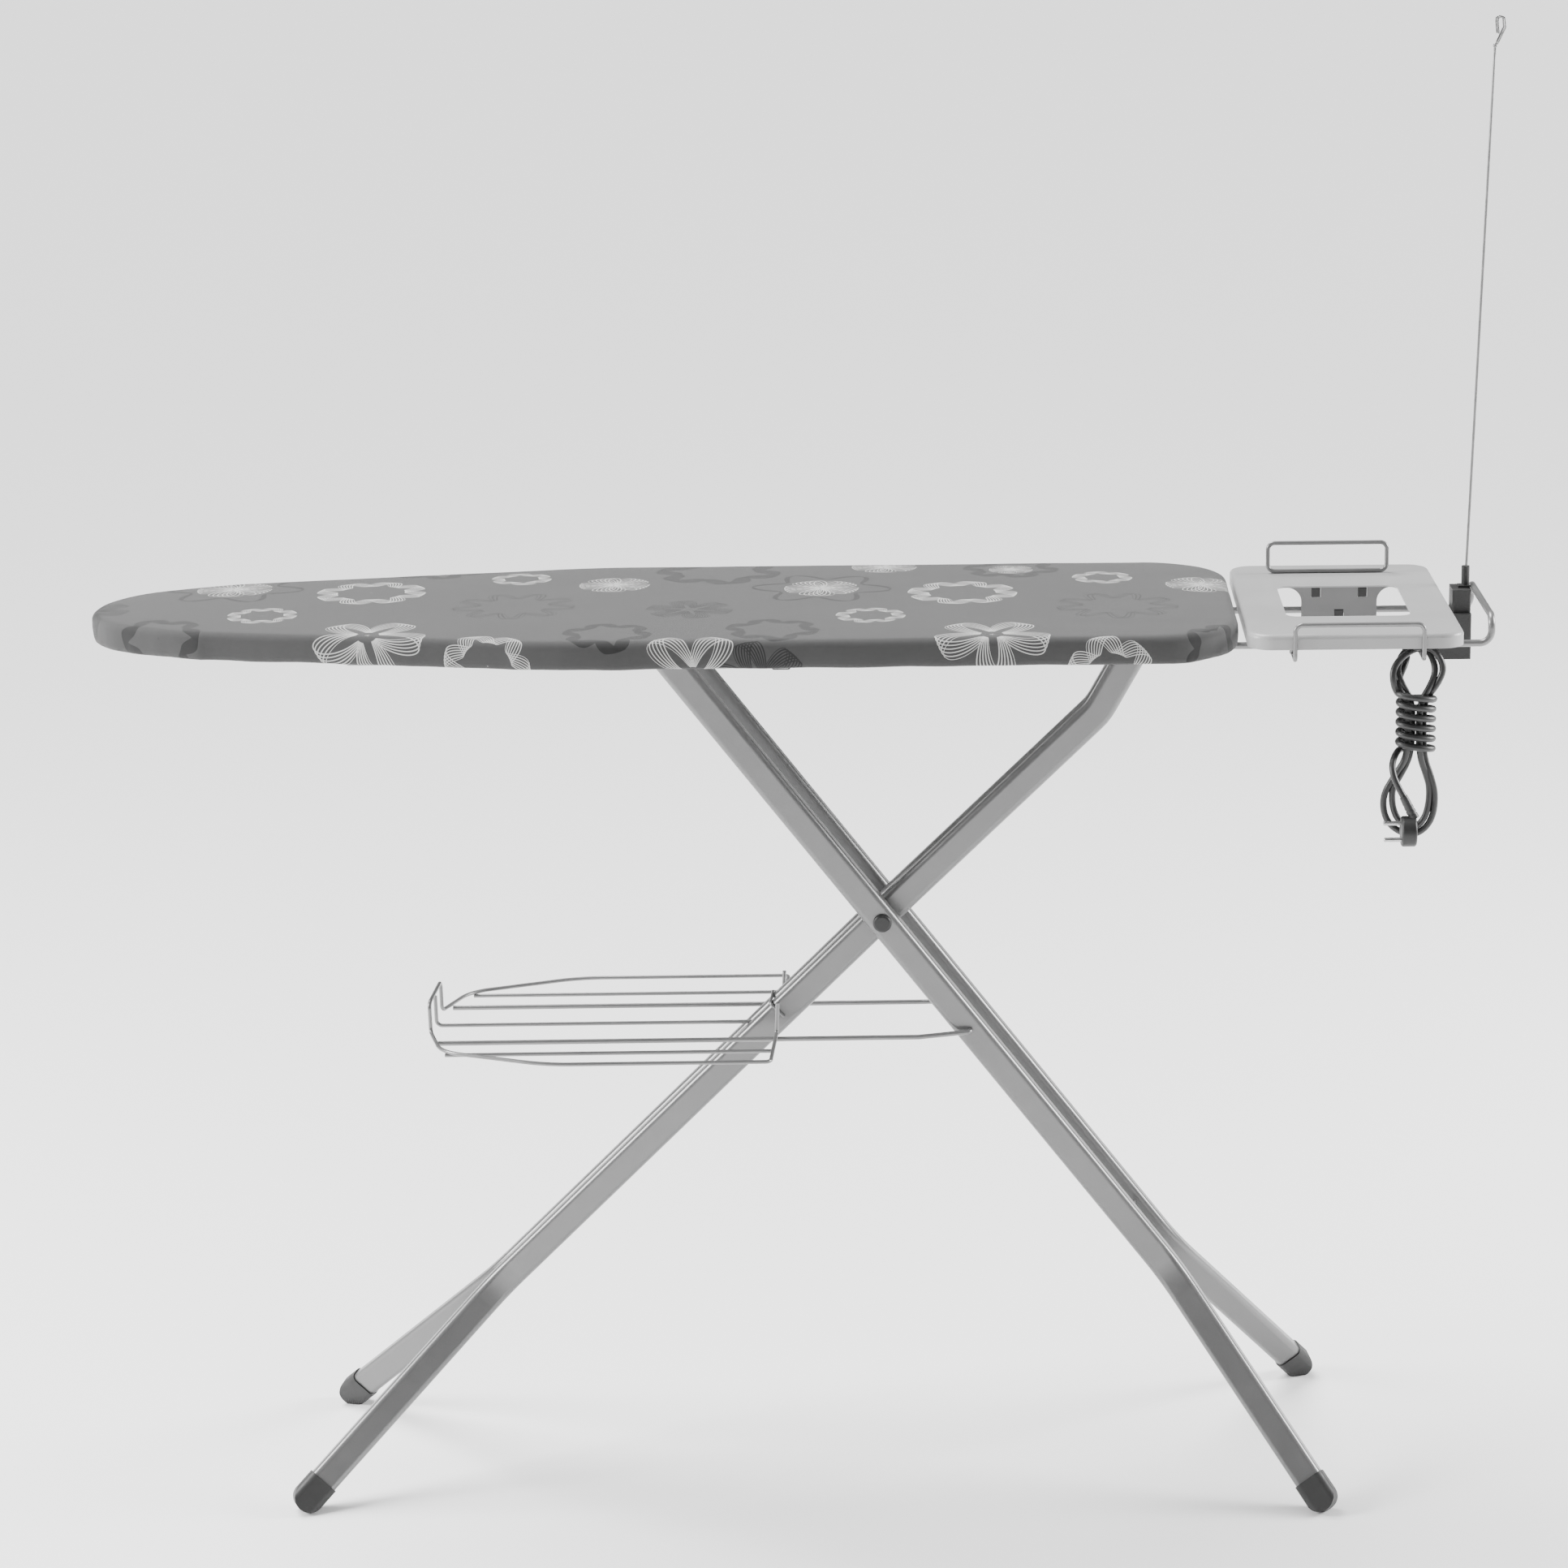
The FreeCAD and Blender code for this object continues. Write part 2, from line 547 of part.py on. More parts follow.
def make_frame_rod():
    """Bent rod that carries the iron rest: two runs under the board and a raised bar across the end."""
    side = size("FrameSide")
    level = size("FrameLevel")
    end = size("FrameEndAt")
    top = level + size("FrameRise")
    points = [at(size("FrameStart"), -side, level), at(end, -side, level), at(end, -side, top)]
    points += [at(end, side, top), at(end, side, level), at(size("FrameStart"), side, level)]
    shaped("frame_rod", rod_shape(points, [12, 12, 12, 12], size("FrameRodRadius")))
    clips = []
    for clip_at in (950, 1110):
        for sign in SIDES.values():
            rod_at = at(clip_at, sign * side, level)
            height = plate_bottom - level
            block = Part.makeBox(14, 16, height + 6, rod_at + Vector(-7, -8, -6))
            bore = cylinder(rod_at - ALONG * 10, ALONG, size("FrameRodRadius"), 20)
            clips.append(block.cut(bore))
    joined("rod_clips", clips)


def make_tray():
    """Pressed steel tray: rolled edge, large opening, and a punched flap folded down from the opening."""
    body = new_body("tray")
    start = size("NoseX") + size("TrayStart")
    end = start + size("TrayLength")
    half = size("TrayHalfWidth")
    wall = size("TrayWall")
    bottom = "Sizes.TrayLevel - Sizes.TrayDepth"
    outline = rectangle(start, -half, end, half, size("TrayCorner"))
    slab = pad(body, sketch_on(body, "XY_Plane", outline, bottom), "Sizes.TrayDepth")
    doc.recompute()
    top_edges = [f"Edge{number}" for number, edge in enumerate(slab.Shape.Edges, start=1)
                 if edge.BoundBox.ZMin > size("TrayLevel") - 0.1]
    rounding = body.newObject("PartDesign::Fillet", "TrayRounding")
    rounding.Base = (slab, top_edges)
    rounding.setExpression("Radius", "Sizes.TrayEdgeRound")
    doc.recompute()
    inner = rectangle(start + wall, wall - half, end - wall, half - wall, size("TrayCorner") - wall)
    pocket(body, sketch_on(body, "XY_Plane", inner, bottom), "Sizes.TrayDepth - Sizes.TrayWall", reverse=True)
    low_x = size("NoseX") + size("OpeningStart")
    high_x = low_x + size("OpeningLength")
    opening = rectangle(low_x, size("OpeningNear"), high_x, size("OpeningFar"), size("OpeningCorner"))
    pocket(body, sketch_on(body, "XY_Plane", opening, bottom), "Sizes.TrayDepth", reverse=True)


def make_flap():
    """Punched flap under the opening's far edge, with plastic buffers pushed into its square holes."""
    wall = size("TrayWall")
    level = size("TrayLevel") - wall
    low_x = size("NoseX") + size("FlapStart")
    high_x = low_x + size("FlapLength")
    low_z = level - size("FlapDepth")
    flare = 15
    profile = [Vector(low_x - flare, 0, level), Vector(low_x, 0, level), Vector(low_x, 0, low_z)]
    profile += [Vector(high_x, 0, low_z), Vector(high_x, 0, level), Vector(high_x + flare, 0, level)]
    edges = path_geometry(profile, [flare, 3, 3, flare])
    edges.append(Part.LineSegment(profile[-1], profile[0]))
    plate = Part.Face(Part.Wire([edge.toShape() for edge in edges])).extrude(ACROSS * wall)
    plate.translate(ACROSS * size("OpeningFar"))
    hole = size("FlapHole")
    middle = (low_x + high_x) / 2
    buffers = []
    for offset, drop, height in ((-24, 0.4, hole), (24, 0.4, hole), (0, 23, 8)):
        corner = Vector(middle + offset - hole / 2, size("OpeningFar") - 1, level - drop - height)
        plate = plate.cut(Part.makeBox(hole, wall + 2, height, corner))
        gap = size("RunGap")
        inner = corner + Vector(gap, 0.4, gap)
        buffer = Part.makeBox(hole - 2 * gap, wall + 3, height - 2 * gap, inner)
        buffers.append(buffer.makeChamfer(0.8, [edge for edge in buffer.Edges if edge.BoundBox.YMax < inner.y + 0.1]))
    shaped("tray_flap", plate)
    joined("flap_buffers", buffers)


NEAR_GUARD_RADII = [4, 7, 7, 4]


def near_guard_points():
    """Corners of the near guard's wire, from under the tray up over its near edge and back down."""
    front = -size("TrayHalfWidth") - size("GuardWireRadius") - 0.4
    back = front + size("GuardNearReturn")
    top = size("TrayLevel") + size("GuardNearRise")
    low = size("GuardNearLow")
    start = size("GuardNearAt")
    end = start + size("GuardLength")
    points = [at(start, back, low), at(start, front, low), at(start, front, top)]
    return points + [at(end, front, top), at(end, front, low), at(end, back, low)]


def make_guards():
    """Bent wire stops: a closed hoop at the far side and a hoop hooked over the near edge."""
    wire = size("GuardWireRadius")
    tray = size("TrayLevel")
    hoop_side = size("GuardFarSide")
    base = tray + wire
    top = base + size("GuardFarHeight")
    middle = size("GuardFarAt") + size("GuardLength") / 2
    halves = []
    for mirror in (1, -1):
        end = middle + mirror * size("GuardLength") / 2
        points = [at(middle, hoop_side, base), at(end, hoop_side, base)]
        points += [at(end, hoop_side, top), at(middle, hoop_side, top)]
        halves.append(rod_shape(points, [7, 7], wire))
    shaped("guard_far", halves[0].fuse(halves[1]).removeSplitter())
    hooked = near_guard_points()
    shaped("guard_near", rod_shape(hooked, NEAR_GUARD_RADII, wire))
    stud_height = tray - size("TrayWall") - size("GuardNearLow")
    channel = rod_shape(hooked, NEAR_GUARD_RADII, wire)
    studs = [cylinder(foot, UP, 3.2, stud_height).cut(channel) for foot in (hooked[0], hooked[-1])]
    joined("guard_studs", studs)


make_frame_rod()
make_tray()
make_flap()
make_guards()


# ---------------------------------------------------------------- socket box

def make_socket():
    """Socket box on the frame rod: stepped housing, outlet on the end face, earth pin, screws, strap."""
    low = at(size("SocketAt"), size("SocketNear"), size("SocketLevel"))
    length = size("SocketLength")
    width = size("SocketWidth")
    height = size("SocketHeight")
    inset = size("SocketStepInset")
    lower = Part.makeBox(length, width, height, low)
    upper = Part.makeBox(length - inset, width - 8, size("SocketStep"), low + Vector(inset, 8, height))
    housing = lower.fuse(upper).removeSplitter()
    upright = [edge for edge in housing.Edges if edge.BoundBox.ZLength > 15]
    housing = housing.makeFillet(2, upright)
    outlet_centre = low + Vector(length, width / 2, height / 2)
    outlet = size("OutletRadius")
    depth = size("OutletDepth")
    floor = size("OutletFloor")
    housing = housing.cut(cylinder(outlet_centre, ALONG * -1, outlet + 1.5, depth + floor))
    shaped("socket_housing", housing)
    cup = cylinder(outlet_centre, ALONG * -1, outlet + 1.5, depth + floor)
    cup = cup.cut(cylinder(outlet_centre, ALONG * -1, outlet, depth))
    for side in (-1, 1):
        hole_at = outlet_centre - ALONG * depth + ACROSS * (side * 9.5)
        cup = cup.cut(cylinder(hole_at, ALONG * -1, 2.6, floor))
    earth_at = outlet_centre - ALONG * (depth + floor) + UP * 11
    cup = cup.cut(cylinder(earth_at, ALONG, 2.4, floor + depth))
    shaped("outlet_insert", cup)
    earth = cylinder(earth_at, ALONG, 2.4, floor + depth)
    tip_edges = [edge for edge in earth.Edges if edge.BoundBox.XMin > earth_at.x + floor + depth - 0.1]
    shaped("earth_pin", earth.makeFillet(1.5, tip_edges))
    screws = [cylinder(low + Vector(length / 2, width, height - drop), ACROSS, 3, 1.6) for drop in (8, 38)]
    joined("socket_screws", screws)
    strap_x = low.x + 2.5
    rod = Vector(0, size("FrameSide"), size("FrameLevel"))
    radius = size("FrameRodRadius")
    outer = cylinder(Vector(strap_x, rod.y, rod.z), ALONG, radius + 1.6, 13)
    web = Part.makeBox(13, 12, 3.2, Vector(strap_x, rod.y - 12, rod.z + radius - 1.6))
    strap = outer.fuse(web)
    strap = strap.cut(cylinder(Vector(strap_x - 1, rod.y, rod.z), ALONG, radius, 20))
    shaped("socket_strap", strap.cut(housing))


def make_gland():
    """Tapered strain relief where the lead leaves the socket box."""
    root = at(size("SocketAt"), size("SocketNear") + 16, size("SocketLevel") + 34)
    radius = size("CordRadius")
    sleeve = Part.makeCone(6, radius + 1.2, 26, root, ALONG * -1)
    collar = cylinder(root, ALONG * -1, 7.5, 4)
    gland = sleeve.fuse(collar).removeSplitter().cut(cylinder(root, ALONG * -1, radius, 30))
    for ridge in range(4):
        groove = ring(root - ALONG * (8 + 4.2 * ridge), ALONG * -1, radius + 1.4, 8, 1.6)
        gland = gland.cut(groove)
    shaped("cord_gland", gland)
    return root


make_socket()
gland_root = make_gland()


# ---------------------------------------------------------------- cord, hank and plug

def cord_tube(label, points):
    """A cord along straight runs and arcs as large as the runs allow. It prints the arcs' radii."""
    radii = []
    for index in range(1, len(points) - 1):
        back = points[index - 1] - points[index]
        ahead = points[index + 1] - points[index]
        half_turn = (math.pi - back.getAngle(ahead)) / 2
        radii.append(0.45 * min(back.Length, ahead.Length) / math.tan(half_turn))
    spine = path_wire(points, radii)
    radius = size("CordRadius")
    section = round_section(points[0], points[1] - points[0], radius)
    tube = spine.makePipeShell([section], True, False)
    expected = math.pi * radius ** 2 * spine.Length
    print(label, "length", round(spine.Length, 1), "radii", [round(value, 1) for value in radii],
          "volume ratio", round(tube.Volume / expected, 4))
    shaped(label, tube)


def make_cord():
    """Lead from the gland to the hank, the hank over the near guard's wire, and the short run to the plug."""
    lead = [gland_root - ALONG * 2, gland_root - ALONG * 32]
    lead += [at(1302, 28, 889), at(1301, -10, 893), at(1303, -46, 902), at(1305, -74, 912), at(1307, -98, 912)]
    lead += [at(1309, -128, 905), at(1310, -160, 900)]
    cord_tube("cord_lead", lead)
    near = size("HankNear")
    outline = [(1319, 911, 16), (1343, 893, 16), (1334, 868, 14), (1334, 803, 12), (1341, 765, 26), (1316, 729, 12)]
    outline += [(1298, 731, 12), (1281, 765, 26), (1298, 803, 14), (1299, 868, 14), (1290, 890, 16), (1308, 911, 10)]
    points = [at(x, 0, z) for x, z, radius in outline]
    edges = path_geometry(points, [radius * 0.6 for x, z, radius in outline], closed=True)
    face = Part.Face(Part.Wire([edge.toShape() for edge in edges]))
    hank = face.extrude(ACROSS * size("HankThickness"))
    hank.translate(ACROSS * near)
    guard_wire = rod_shape(near_guard_points()[3:], [4], size("GuardWireRadius") + 0.3)
    shaped("cord_hank", hank.cut(guard_wire))
    plug_lead = [at(1301, near + 1, 822), at(1293, near - 7, 806), at(1294, near - 12, 789), at(1302, near - 14, 773)]
    cord_tube("cord_plug_lead", plug_lead)
    return plug_lead[-1], (plug_lead[-1] - plug_lead[-2]).normalize()


def make_plug(cord_end, direction):
    """Flat round plug with the cord entering at its side, and two pins."""
    radius = size("CordRadius")
    relief_length = 24
    relief = Part.makeCone(radius + 0.8, 5.2, relief_length, cord_end, direction)
    for ridge in range(4):
        groove = ring(cord_end + direction * (4 + 4.6 * ridge), direction, radius + 1.0, 9, 1.8)
        relief = relief.cut(groove)
    plug_radius = size("PlugRadius")
    centre = cord_end + direction * relief_length + Vector(-5.5, 0, -13)
    centre.y = size("HankNear") - plug_radius - 1.2
    depth = size("PlugDepth")
    disc = cylinder(centre - ALONG * (depth / 2), ALONG, plug_radius, depth)
    disc = disc.makeFillet(2.5, [edge for edge in disc.Edges if edge.BoundBox.XLength < 0.01])
    shaped("plug_strain_relief", relief.cut(disc))
    shaped("plug_body", disc)
    pins = []
    for side in SIDES.values():
        root = centre - ALONG * (depth / 2) + Vector(0, side * 5, side * 7)
        pin = cylinder(root, ALONG * -1, size("PlugPinRadius"), size("PlugPinLength"))
        tip = [edge for edge in pin.Edges if edge.BoundBox.XMax < root.x - size("PlugPinLength") + 0.1]
        pins.append(pin.makeFillet(1.4, tip))
    joined("plug_pins", pins)


make_plug(*make_cord())


# ---------------------------------------------------------------- cable guide

def make_cable_guide():
    """Holder on the socket box, sprung steel rod and the twin wire loop that leads the iron's cable."""
    base = at(size("GuideAt"), size("GuideSide"), size("GuideBase"))
    lean = math.radians(size("GuideLean"))
    direction = Vector(math.sin(lean), 0, math.cos(lean))
    radius = size("GuideRadius")
    height = size("GuideHolderHeight")
    holder = cylinder(base, UP, size("GuideHolderRadius"), height)
    foot = Part.makeBox(12, 13, 2.4, base + Vector(-8, -6.5, 0))
    holder = holder.fuse(foot).removeSplitter()
    seat = base + UP * 3
    holder = holder.cut(cylinder(seat, direction, radius + size("FitGap"), height + 5))
    shaped("guide_holder", holder)
    foot_of_rod = seat + direction * 0.4
    rod = cylinder(foot_of_rod, direction, radius, size("GuideLength"))
    shaped("guide_rod", rod)
    top = foot_of_rod + direction * size("GuideLength")
    loop_height = 30
    loops = []
    for offset, sign in ((-3.2, -1), (3.2, 1)):
        low = top + Vector(0, offset, 0)
        points = [top, low + Vector(2, sign * 2.5, 3), low + Vector(9, sign * 4, loop_height - 12)]
        points += [low + Vector(8, sign * 4, loop_height), low + Vector(1, sign * 4, loop_height - 3)]
        points += [low + Vector(2.5, sign * 4, 12)]
        loops.append(rod_shape(points, [2, 8, 3.5, 3], 0.9))
    shaped("guide_clip", loops[0].fuse(loops[1]).fuse(Part.makeSphere(radius + 0.9, top)))


make_cable_guide()


# ---------------------------------------------------------------- check and write

doc.recompute()
for item in doc.Objects:
    if "Invalid" in item.State or "Error" in item.State:
        raise RuntimeError(f"{item.Name} failed: {item.State}")
os.makedirs("parts", exist_ok=True)
for piece in subparts:
    if piece.Shape.isNull() or not piece.Shape.isValid():
        raise RuntimeError(f"{piece.Label} has no valid shape")
    piece.Shape.exportStep(f"parts/{piece.Label}.step")
print(len(subparts), "sub-parts written")
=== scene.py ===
import bpy
import math
from mathutils import Matrix, Vector, noise


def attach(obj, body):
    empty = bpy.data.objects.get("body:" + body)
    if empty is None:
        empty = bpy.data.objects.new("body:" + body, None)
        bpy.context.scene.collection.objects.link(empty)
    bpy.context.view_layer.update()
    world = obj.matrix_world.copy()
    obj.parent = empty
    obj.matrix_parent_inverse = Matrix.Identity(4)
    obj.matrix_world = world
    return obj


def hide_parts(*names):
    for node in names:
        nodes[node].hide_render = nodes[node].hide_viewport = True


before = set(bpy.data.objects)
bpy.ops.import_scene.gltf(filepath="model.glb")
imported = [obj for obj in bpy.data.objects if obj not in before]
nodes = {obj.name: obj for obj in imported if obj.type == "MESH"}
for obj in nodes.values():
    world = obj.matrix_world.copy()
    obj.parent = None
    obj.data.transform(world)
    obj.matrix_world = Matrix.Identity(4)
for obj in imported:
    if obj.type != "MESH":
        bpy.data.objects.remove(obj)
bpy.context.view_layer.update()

# ---------------------------------------------------------------- camera
# A long lens looks slightly down at the near long side of the board.
camera = bpy.data.objects.new("camera", bpy.data.cameras.new("camera"))
bpy.context.scene.collection.objects.link(camera)
bpy.context.scene.camera = camera
camera.data.sensor_width = 36
camera.data.lens = 80.54
camera.data.shift_x = -0.2087
camera.data.clip_end = 400
turn = Matrix.Rotation(math.radians(-1.31), 4, "Z")
tip = Matrix.Rotation(math.radians(90 - 14.663), 4, "X")
roll = Matrix.Rotation(math.radians(-0.338), 4, "Z")
camera.matrix_world = Matrix.Translation((0.2314, -3.4877, 1.648)) @ turn @ tip @ roll


# ---------------------------------------------------------------- mains lead
# A black rubber flex leaves the socket box, runs under the tray, and is folded over the near guard's
# wire as a hank of two long turns. Its last metre is wound round the hank's waist and ends in the plug.
class Shade:
    """One output of a material's nodes, so that shader maths reads as plain arithmetic."""

    def __init__(self, tree, socket=None):
        self.tree = tree
        self.socket = socket

    def node(self, kind, settings=None, inputs=None, output=0):
        made = self.tree.nodes.new(kind)
        for name, setting in (settings or {}).items():
            if name == "stops":
                ramp = made.color_ramp
                for index, (place, level) in enumerate(setting):
                    stop = ramp.elements[index] if index < 2 else ramp.elements.new(place)
                    stop.position = place
                    stop.color = (level, level, level, 1)
            else:
                setattr(made, name, setting)
        for name, value in (inputs or {}).items():
            if isinstance(value, Shade):
                self.tree.links.new(value.socket, made.inputs[name])
            else:
                made.inputs[name].default_value = value
        return Shade(self.tree, made.outputs[output])

    def maths(self, operation, *others):
        return self.node("ShaderNodeMath", {"operation": operation}, dict(enumerate((self, *others))))

    def __add__(self, other):
        return self.maths("ADD", other)

    def __radd__(self, other):
        return self.maths("ADD", other)

    def __sub__(self, other):
        return self.maths("SUBTRACT", other)

    def __rsub__(self, other):
        return self.node("ShaderNodeMath", {"operation": "SUBTRACT"}, {0: other, 1: self})

    def __mul__(self, other):
        return self.maths("MULTIPLY", other)

    def __rmul__(self, other):
        return self.maths("MULTIPLY", other)

    def __truediv__(self, other):
        return self.maths("DIVIDE", other)

    def place(self):
        return self.node("ShaderNodeTexCoord", output="Object")

    def grain(self, where, scale, detail=3.0):
        return self.node("ShaderNodeTexNoise", inputs={"Vector": where, "Scale": scale, "Detail": detail})

    def between(self, share, low, high):
        """A colour from low to high as share goes from 0 to 1; either may be a grey level."""
        ends = [(level, level, level, 1) if isinstance(level, float) else level for level in (low, high)]
        return self.node("ShaderNodeMix", {"data_type": "RGBA"}, {0: share, 6: ends[0], 7: ends[1]}, output=2)

    def bump(self, height, depth, strength=1.0):
        return self.node("ShaderNodeBump", inputs={"Height": height, "Distance": depth, "Strength": strength})


def finish(name, constants, varying):
    """A material: constants go on the shader's own sockets, and varying works out the rest."""
    material = bpy.data.materials.new(name)
    material.use_nodes = True
    shader = material.node_tree.nodes["Principled BSDF"]
    for socket, value in constants.items():
        shader.inputs[socket].default_value = value
    for socket, value in varying(Shade(material.node_tree)).items():
        material.node_tree.links.new(value.socket, shader.inputs[socket])
    return material


def coat(material, *names):
    """Gives CAD nodes a material in the slot that they came with."""
    for name in names:
        slots = nodes[name].material_slots
        if not slots:
            nodes[name].data.materials.append(material)
        for held in slots:
            held.material = material


def rubber_grain(start):
    where = start.place()
    cloud = start.grain(where, 60)
    fine = start.grain(where, 900, 4)
    return {
        "Base Color": start.between(cloud, 0.012, 0.022),
        "Roughness": cloud * 0.22 + 0.30,
        "Normal": start.bump(fine, 0.0002, 0.5),
    }


rubber = finish("flex_rubber", {"Specular IOR Level": 0.55}, rubber_grain)

cord_radius = 0.00325
nose = -0.712
lead = [(1356, 54, 888), (1326, 54, 888), (1302, 28, 889), (1301, -10, 893), (1303, -46, 902)]
lead += [(1305, -74, 912), (1307, -98, 912), (1309, -128, 905), (1310, -158, 900)]
half_turn_down = [(-16, 911), (-26, 894), (-20, 878), (-9, 862), (-8, 846), (-8, 826), (-9, 804), (-20, 786)]
half_turn_down += [(-32, 765), (-28, 740), (-11, 727)]
half_turn_up = [(5, 727), (18, 741), (21, 766), (15, 788), (9, 804), (8, 826), (8, 846), (9, 862), (20, 876)]
half_turn_up += [(28, 893), (19, 910), (7, 914)]
waist_x, waist_y = 1316, -176
turns = []
for number, (spread, tuck, side) in enumerate(((1.0, 1.0, -1), (0.72, 0.36, 1))):
    for half, sense in ((half_turn_down, 1), (half_turn_up, -1)):
        for x, z in half:
            in_waist = max(0.0, 1 - abs(z - 834) / 45)
            x_scale = spread + (tuck - spread) * min(1.0, in_waist * 1.6)
            lift = 7 * number if z < 780 else (-2 * number if z > 880 else 0)
            near = 3.6 * side * sense * min(1.0, in_waist * 2)
            over_wire = max(0.0, (z - 880) / 34) * (8 + 7 * number)
            turns.append((waist_x + x * x_scale, waist_y + near + over_wire, z + lift))
turns = turns[2:]
last_strand = [(1304, -170, 906), (1293, -176, 894), (1293, -180, 880)]
wraps = []
for step in range(6 * 14 + 1):
    angle = math.pi + math.tau * step / 14
    loose = 1 + 0.05 * math.sin(step * 0.9) + 0.10 * max(0.0, 1 - step / 12)
    x = waist_x + 17.2 * loose * math.cos(angle)
    y = waist_y + 12.0 * loose * math.sin(angle)
    wraps.append((x, y, 869 - 9.9 * step / 14 - 1.2 * math.cos(angle)))
tail = [(1294, -188, 808), (1291, -197, 800), (1294, -204, 787), (1302, -206, 773)]
route = lead + turns + last_strand + wraps + tail

line = bpy.data.curves.new("mains_flex", "CURVE")
line.dimensions = "3D"
line.bevel_depth = cord_radius
line.bevel_resolution = 6
line.resolution_u = 6
line.use_fill_caps = True
spline = line.splines.new("NURBS")
spline.points.add(len(route) - 1)
for point, (x, y, z) in zip(spline.points, route):
    point.co = (nose + x / 1000, y / 1000, z / 1000, 1)
spline.order_u = 3
spline.use_endpoint_u = True
flex = bpy.data.objects.new("mains_flex", line)
bpy.context.scene.collection.objects.link(flex)
line.materials.append(rubber)
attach(flex, "board")
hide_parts("cord_lead", "cord_hank", "cord_plug_lead")
coat(rubber, "cord_gland", "plug_strain_relief")


# ---------------------------------------------------------------- plug
# A flat round two-pin plug moulded on the flex, with plated brass pins.
def moulded_grain(start):
    where = start.place()
    cloud = start.grain(where, 35)
    fine = start.grain(where, 1400, 2)
    return {
        "Base Color": start.between(cloud, 0.010, 0.019),
        "Roughness": cloud * 0.2 + 0.38,
        "Normal": start.bump(fine, 0.00015, 0.45),
    }


moulded = finish("plug_moulding", {"Specular IOR Level": 0.5}, moulded_grain)


def plated_grain(start):
    where = start.place()
    streak = start.node("ShaderNodeTexNoise", inputs={"Vector": where, "Scale": 240.0, "Detail": 5.0})
    return {
        "Base Color": start.between(streak, 0.36, 0.55),
        "Roughness": streak * 0.25 + 0.16,
    }


plated = finish("plated_steel", {"Metallic": 1.0}, plated_grain)
coat(moulded, "plug_body")
coat(plated, "plug_pins")


# ---------------------------------------------------------------- board plate and rim
# Expanded steel sheet spot-welded to a formed rim, both painted. Rails, rack and hinge plates are welded under it;
# the rails and hinge plates are pressed from the same painted strip, and the rack is plated.
def painted_grain(start, low, high, roughness):
    where = start.place()
    cloud = start.grain(where, 14)
    orange_peel = start.grain(where, 700, 2)
    return {
        "Base Color": start.between(cloud, low, high),
        "Roughness": cloud * 0.12 + roughness,
        "Normal": start.bump(orange_peel, 0.0002, 0.35),
    }


def expanded_sheet(start):
    where = start.node("ShaderNodeSeparateXYZ", inputs={0: start.place()})
    along = where.node("ShaderNodeSeparateXYZ", inputs={0: start.place()}, output=0)
    across = where.node("ShaderNodeSeparateXYZ", inputs={0: start.place()}, output=1)
    one = ((along / 0.022 + across / 0.010) * 0.5).maths("PINGPONG", 0.5)
    two = ((along / 0.022 - across / 0.010) * 0.5).maths("PINGPONG", 0.5)
    strand = one.maths("MINIMUM", two)
    # The holes are not cut through: they are coloured dark as painted shade, standing for the shadow seen through
    # them.
    hole_painted_shade = strand.maths("GREATER_THAN", 0.13)
    return {
        "Base Color": start.between(hole_painted_shade, 0.45, 0.09),
        "Roughness": hole_painted_shade * 0.4 + 0.42,
        "Normal": start.bump(1 - hole_painted_shade, 0.0012, 0.8),
    }


plate_paint = finish("plate_paint", {"Metallic": 0.0}, lambda start: painted_grain(start, 0.40, 0.47, 0.40))
coat(finish("expanded_sheet", {}, expanded_sheet), "board_plate")
coat(plate_paint, "board_rim", "slide_rail_near", "slide_rail_far", "hinge_plates", "rod_clips")
coat(plated, "height_rack", "hinge_pin", "lever_bracket")


# ---------------------------------------------------------------- felt pad
# Needled felt, seven millimetres thick, cut to the board's outline and laid loose on the plate.
def board_outline(count):
    """Points round the board with their outward normals and how curved the edge is there."""
    half = 0.190
    corners = [(-0.712, -0.064, 0.098), (-0.600, -0.120, 0.15), (-0.232, -half, 0.5), (0.435, -half, 0.088)]
    corners += [(x, -y, radius) for x, y, radius in reversed(corners)]
    fine = []
    for index, (x, y, radius) in enumerate(corners):
        here = Vector((x, y))
        before = (Vector(corners[index - 1][:2]) - here).normalized()
        after = (Vector(corners[(index + 1) % 8][:2]) - here).normalized()
        opening = before.angle(after) / 2
        centre = here + (before + after).normalized() * radius / math.sin(opening)
        start_at = here + before * radius / math.tan(opening) - centre
        end_at = here + after * radius / math.tan(opening) - centre
        first = math.atan2(start_at.y, start_at.x)
        sweep = (math.atan2(end_at.y, end_at.x) - first + math.pi) % math.tau - math.pi
        for step in range(61):
            angle = first + sweep * step / 60
            out = Vector((math.cos(angle), math.sin(angle)))
            fine.append((centre + out * radius, out, 1.0 if radius < 0.2 else 0.2))
    fine.append(fine[0])
    lengths = [0.0]
    for (one, _, _), (two, _, _) in zip(fine, fine[1:]):
        lengths.append(lengths[-1] + (two - one).length)
    made, segment = [], 0
    for index in range(count):
        wanted = lengths[-1] * index / count
        while lengths[segment + 1] < wanted:
            segment += 1
        span = lengths[segment + 1] - lengths[segment]
        share = (wanted - lengths[segment]) / span if span else 0
        (one, out_one, curve_one), (two, out_two, curve_two) = fine[segment], fine[segment + 1]
        out = out_one.lerp(out_two, share).normalized()
        curved = min(curve_one, curve_two) if span > 0.01 else max(curve_one, curve_two)
        made.append((one.lerp(two, share), out, curved if span < 0.01 else 0.0, wanted))
    return made


